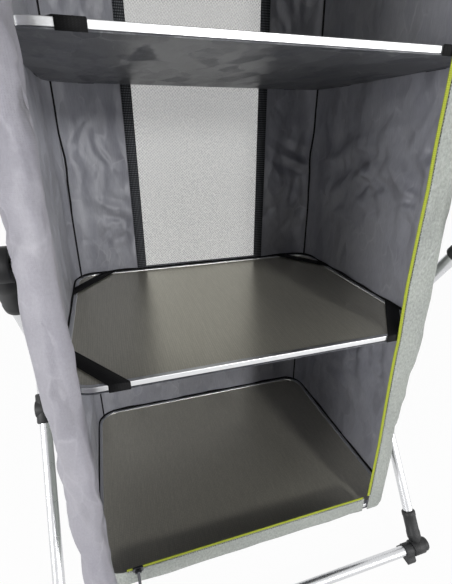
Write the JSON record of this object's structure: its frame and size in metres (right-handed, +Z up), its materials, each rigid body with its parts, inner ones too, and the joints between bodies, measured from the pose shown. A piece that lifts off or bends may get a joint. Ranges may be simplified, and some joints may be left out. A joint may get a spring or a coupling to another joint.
{
  "type": "folding camping cupboard",
  "caption": "Folding camping cupboard: scissor tube frame with moulded joints, flat table top, framed boards in a cloth body, mesh window and a zipped door thrown open.",
  "frame": {"origin": "middle of the whole outline, at the base of the feet", "axes": "+Z up, front with the door opening towards -Y, +X to the right seen from the front"},
  "size_m": [0.6796, 0.5244, 1.3128],
  "materials": {
    "anodised_tube": "satin clear anodised, bright",
    "black_nylon": "fine moulded grain",
    "steel_pin": "satin",
    "laminate": "brushed warm grey laminate on thin board",
    "grey_cloth": "coated woven polyester, fine grain",
    "shelf_cloth": "dark woven polyester",
    "black_webbing": "woven webbing",
    "pale_mesh": "fine open mesh",
    "lime_zip": "moulded coil zip on tape",
    "zinc_pull": "dark gunmetal, semi gloss"
  },
  "bodies": {
    "base": {"foot_rail_back": "anodised_tube", "foot_back_right": "black_nylon", "foot_back_left": "black_nylon", "wall_left": "grey_cloth", "wall_right": "grey_cloth", "wall_back": "grey_cloth", "window_mesh": "pale_mesh", "window_tape": "black_webbing", "door_header": "grey_cloth", "corner_piping_right": "black_webbing", "corner_piping_left": "black_webbing", "zip_jamb": "lime_zip"},
    "legs_a": {"leg_a_right": "anodised_tube", "leg_a_left": "anodised_tube", "pin_lower_crossing_right": "steel_pin", "pin_lower_crossing_left": "steel_pin", "pin_front_hub_right": "steel_pin", "pin_front_hub_left": "steel_pin"},
    "legs_b": {"leg_b_right": "anodised_tube", "leg_b_left": "anodised_tube", "pin_back_hub_right": "steel_pin", "pin_back_hub_left": "steel_pin"},
    "front_foot": {"foot_rail_front": "anodised_tube", "foot_front_right": "black_nylon", "foot_front_left": "black_nylon"},
    "legs_c": {"leg_c_right": "anodised_tube", "leg_c_left": "anodised_tube", "pin_upper_crossing_right": "steel_pin", "pin_upper_crossing_left": "steel_pin"},
    "legs_d": {"leg_d_right": "anodised_tube", "leg_d_left": "anodised_tube"},
    "top": {"top_rail_back": "anodised_tube", "top_seat_back_right": "black_nylon", "top_seat_back_left": "black_nylon", "tabletop": "laminate", "tabletop_edging": "anodised_tube", "roof_cloth": "grey_cloth"},
    "front_top": {"top_rail_front": "anodised_tube", "top_seat_front_right": "black_nylon", "top_seat_front_left": "black_nylon", "front_tunnel": "grey_cloth"},
    "floor_shelf": {"floor_board": "laminate", "floor_board_edging": "anodised_tube", "floor_shelf_cloth": "shelf_cloth", "door_sill": "grey_cloth", "zip_sill": "lime_zip"},
    "middle_shelf": {"middle_board": "laminate", "middle_board_edging": "anodised_tube", "middle_shelf_cloth": "shelf_cloth"},
    "upper_shelf": {"upper_board": "laminate", "upper_board_edging": "anodised_tube", "upper_shelf_cloth": "shelf_cloth"},
    "door": {"door_cloth": "grey_cloth", "door_zip_edge": "lime_zip"},
    "zip_slider": {"zip_slider": "zinc_pull"},
    "zip_pull": {"zip_pull": "zinc_pull"}
  },
  "joints": [
    {"name": "fold", "type": "hinge", "parent": "base", "child": "legs_a", "pos_m": [0, 0.24521, 0.016], "axis": [1, 0, 0], "range_deg": [0, 49], "deforming": ["wall_left", "wall_right", "wall_back", "window_mesh", "window_tape", "door_header", "corner_piping_right", "corner_piping_left", "zip_jamb", "door_cloth", "door_zip_edge"]},
    {"name": "lower_scissor", "type": "hinge", "parent": "legs_a", "child": "legs_b", "pos_m": [0, 0.02621, 0.334], "axis": [1, 0, 0], "range_deg": [-98, 0]},
    {"name": "front_foot_turn", "type": "hinge", "parent": "legs_b", "child": "front_foot", "pos_m": [0, -0.19279, 0.016], "axis": [1, 0, 0], "range_deg": [0, 49]},
    {"name": "front_hub_turn", "type": "hinge", "parent": "legs_a", "child": "legs_c", "pos_m": [0, -0.19279, 0.652], "axis": [1, 0, 0], "range_deg": [-98, 0]},
    {"name": "upper_scissor", "type": "hinge", "parent": "legs_c", "child": "legs_d", "pos_m": [0, 0.02621, 0.97], "axis": [1, 0, 0], "range_deg": [0, 98]},
    {"name": "top_turn", "type": "hinge", "parent": "legs_c", "child": "top", "pos_m": [0, 0.24521, 1.288], "axis": [1, 0, 0], "range_deg": [0, 49]},
    {"name": "front_top_turn", "type": "hinge", "parent": "legs_d", "child": "front_top", "pos_m": [0, -0.19279, 1.288], "axis": [1, 0, 0], "range_deg": [-49, 0]},
    {"name": "floor_shelf_drop", "type": "slide", "parent": "base", "child": "floor_shelf", "axis": [0, 0, 1], "range_m": [-0.1178, 0]},
    {"name": "middle_shelf_drop", "type": "slide", "parent": "base", "child": "middle_shelf", "axis": [0, 0, 1], "range_m": [-0.4173, 0]},
    {"name": "upper_shelf_drop", "type": "slide", "parent": "base", "child": "upper_shelf", "axis": [0, 0, 1], "range_m": [-0.7167, 0]},
    {"name": "door_swing", "type": "hinge", "parent": "base", "child": "door", "pos_m": [-0.23154, -0.16381, 0.7], "axis": [0, 0, 1], "range_deg": [0, 60]},
    {"name": "zip_slide", "type": "slide", "parent": "floor_shelf", "child": "zip_slider", "axis": [1, 0, 0], "range_m": [0, 0.365]},
    {"name": "pull_swing", "type": "hinge", "parent": "zip_slider", "child": "zip_pull", "pos_m": [-0.197, -0.17549, 0.1672], "axis": [-1, 0, 0], "range_deg": [0, 150]}
  ],
  "couplings": [
    {"joint": "lower_scissor", "follows": "fold", "ratio": -2},
    {"joint": "front_foot_turn", "follows": "fold", "ratio": 1},
    {"joint": "front_hub_turn", "follows": "fold", "ratio": -2},
    {"joint": "upper_scissor", "follows": "fold", "ratio": 2},
    {"joint": "top_turn", "follows": "fold", "ratio": 1},
    {"joint": "front_top_turn", "follows": "fold", "ratio": -1},
    {"joint": "floor_shelf_drop", "follows": "fold", "m_per_rad": -0.13714},
    {"joint": "middle_shelf_drop", "follows": "fold", "m_per_rad": -0.48731},
    {"joint": "upper_shelf_drop", "follows": "fold", "m_per_rad": -0.83747}
  ]
}
